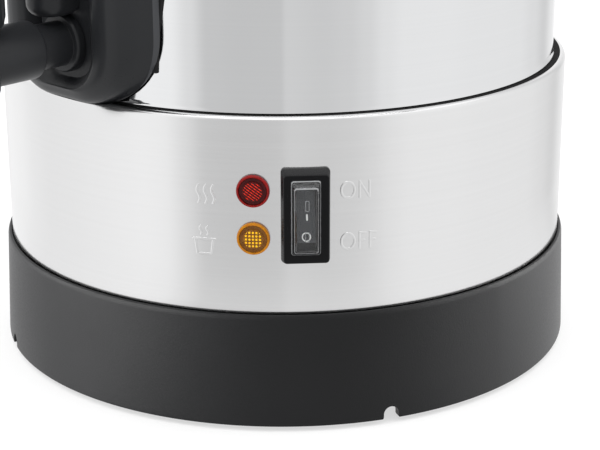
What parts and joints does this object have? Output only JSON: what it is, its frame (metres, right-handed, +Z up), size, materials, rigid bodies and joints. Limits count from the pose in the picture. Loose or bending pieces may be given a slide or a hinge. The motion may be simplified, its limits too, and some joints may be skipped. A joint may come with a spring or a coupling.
{
  "type": "mulled wine dispenser",
  "caption": "Electric mulled wine dispenser: polished steel tank on a satin skirt and black base, front tap with level gauge, side handles, lift-off lid, switch and indicator lamps.",
  "frame": {"origin": "on the table plane under the feet, in the middle of the part's outline, 51.6 mm from the tank's axis towards the tap", "axes": "+Z up, the tap points towards -Y, the side handles along X, the switch panel between the tap and the +X handle"},
  "size_m": [0.315, 0.3455, 0.427],
  "materials": {
    "tank_steel": "mirror polished stainless steel",
    "skirt_steel": "satin stainless steel",
    "lid_steel": "polished stainless steel",
    "black_plastic": "fine matte black moulding",
    "handle_plastic": "matte black moulding",
    "tap_plastic": "satin black moulding",
    "bezel_plastic": "black",
    "rocker_plastic": "dark grey",
    "clear_boot": "clear flexible boot",
    "gauge_glass": "clear",
    "red_lens": "translucent red",
    "amber_lens": "translucent amber",
    "rubber_black": "matte black rubber",
    "silicone": "translucent white silicone",
    "zinc_steel": "zinc plated",
    "spring_steel": "drawn wire",
    "brass": "plain",
    "heater_alloy": "cast plate",
    "sheath": "heat-tinted steel sheath",
    "white_insulator": "white insulating body",
    "brown_insulator": "brown insulating body",
    "wire_cover": "heat-proof wire covering",
    "cover_paint": "black coated sheet steel"
  },
  "bodies": {
    "body": {"base_ring": "black_plastic", "bottom_cover": "cover_paint", "feet": "rubber_black", "cover_screws": "zinc_steel", "skirt": "skirt_steel", "skirt_seal": "rubber_black", "cord_gland": "black_plastic", "gland_nut": "black_plastic", "tank": "tank_steel", "centre_stud": "zinc_steel", "centre_washer": "zinc_steel", "centre_nut": "zinc_steel", "heater_plate": "heater_alloy", "heating_element": "sheath", "keep_warm_element": "sheath", "heating_thermostat": "brown_insulator", "keep_warm_thermostat": "brown_insulator", "thermal_fuse": "white_insulator", "terminal_block": "white_insulator", "terminal_screws": "brass", "earth_tag": "brass", "wiring_loom": "wire_cover", "switch_housing": "bezel_plastic", "switch_terminals": "brass", "switch_boot": "clear_boot", "lamp_lens_red": "red_lens", "lamp_lens_amber": "amber_lens", "lamp_bodies": "white_insulator", "lamp_nuts": "black_plastic", "tap_housing": "tap_plastic", "housing_gasket": "rubber_black", "tap_shank": "tap_plastic", "tap_inner_seal": "silicone", "tap_nut": "tap_plastic", "tap_body": "tap_plastic", "tap_spring": "spring_steel", "tap_bonnet": "tap_plastic", "tap_pivot_pin": "zinc_steel", "gauge_lower_cap": "tap_plastic", "gauge_upper_cap": "tap_plastic", "gauge_tube": "gauge_glass", "gauge_seals": "rubber_black", "gauge_nut": "zinc_steel", "gauge_screw": "zinc_steel", "gauge_inner_seals": "silicone", "handle_left": "handle_plastic", "handle_right": "handle_plastic", "handle_screws": "zinc_steel", "handle_washers": "silicone"},
    "lid": {"lid_shell": "lid_steel", "lid_collar": "lid_steel", "lid_seal": "rubber_black", "lid_knob": "handle_plastic", "lid_screw": "zinc_steel"},
    "rocker": {"rocker": "rocker_plastic"},
    "tap_lever": {"tap_lever": "tap_plastic"},
    "tap_stem": {"tap_stem": "zinc_steel", "tap_seat": "silicone", "tap_stem_pin": "zinc_steel"}
  },
  "joints": [
    {"name": "lid_lift", "type": "slide", "parent": "body", "child": "lid", "axis": [0, 0, 1], "range_m": [0, 0.15]},
    {"name": "rocker_tilt", "type": "hinge", "parent": "body", "child": "rocker", "pos_m": [0.08463, -0.02572, 0.0844], "axis": [0.6743, 0.7385, 0], "range_deg": [0, 20]},
    {"name": "tap_lever_press", "type": "hinge", "parent": "body", "child": "tap_lever", "pos_m": [0, -0.11994, 0.179], "axis": [1, 0, 0], "range_deg": [0, 25], "stiffness_Nm_per_rad": 0.6, "springref_deg": -8.59},
    {"name": "tap_stem_lift", "type": "slide", "parent": "body", "child": "tap_stem", "axis": [0, 0, 1], "range_m": [0, 0.0042], "deforming": ["tap_spring"]}
  ],
  "couplings": [
    {"joint": "tap_stem_lift", "follows": "tap_lever_press", "m_per_rad": 0.0095}
  ]
}
